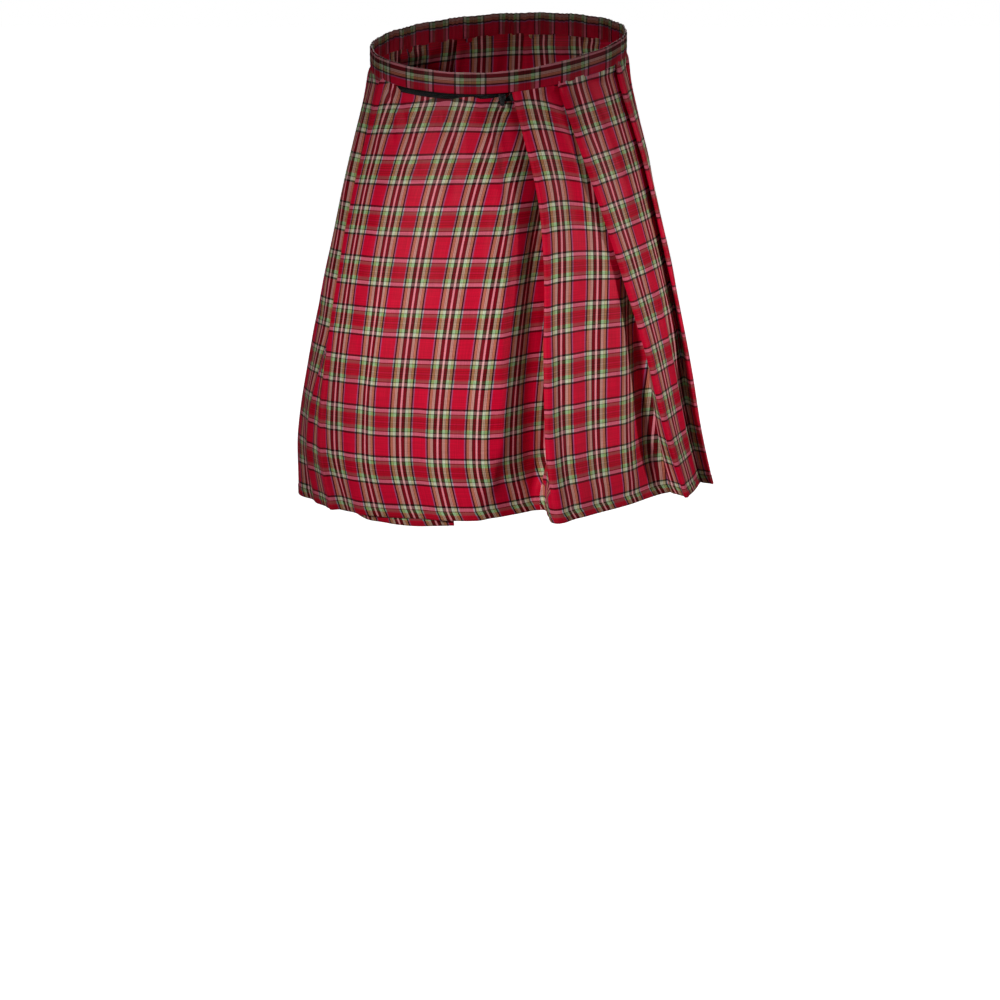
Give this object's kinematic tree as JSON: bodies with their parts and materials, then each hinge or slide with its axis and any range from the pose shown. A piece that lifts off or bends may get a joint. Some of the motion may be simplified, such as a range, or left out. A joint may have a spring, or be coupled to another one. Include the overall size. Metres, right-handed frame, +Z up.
{
  "type": "scottish kilt",
  "caption": "Worn knee-length tartan kilt: open pleated skirt with overlapping apron, waistband, gathered back and pocket zip with swinging tab.",
  "frame": {"origin": "middle of the waist, where the wearer's waist holds the kilt", "axes": "+Z up, +Y towards the wearer's back, +X towards the wearer's left"},
  "size_m": [0.5767, 0.3439, 0.6589],
  "materials": {
    "tartan_cloth": "smooth woven red tartan, slight satin sheen",
    "zip_tape": "black woven zip tape with a nylon coil",
    "zip_metal": "black enamelled, worn to grey on the edges"
  },
  "bodies": {
    "kilt": {"waistband_front": "tartan_cloth", "waistband_back": "tartan_cloth", "under_apron": "tartan_cloth", "pleat_back_5": "tartan_cloth", "pleat_back_4": "tartan_cloth", "pleat_back_3": "tartan_cloth", "pleat_back_2": "tartan_cloth", "pleat_back_1": "tartan_cloth", "pleat_side": "tartan_cloth", "pleat_side_front": "tartan_cloth", "pleat_front": "tartan_cloth", "apron": "tartan_cloth", "apron_side": "tartan_cloth", "zip_tape": "zip_tape", "zip_slider": "zip_metal"},
    "pull_tab": {"pull_tab": "zip_metal"}
  },
  "joints": [
    {"name": "pull_tab_swing", "type": "hinge", "parent": "kilt", "child": "pull_tab", "pos_m": [0.008, -0.12771, -0.04686], "axis": [-0.9893, -0.1457, 0], "range_deg": [0, 150]}
  ]
}
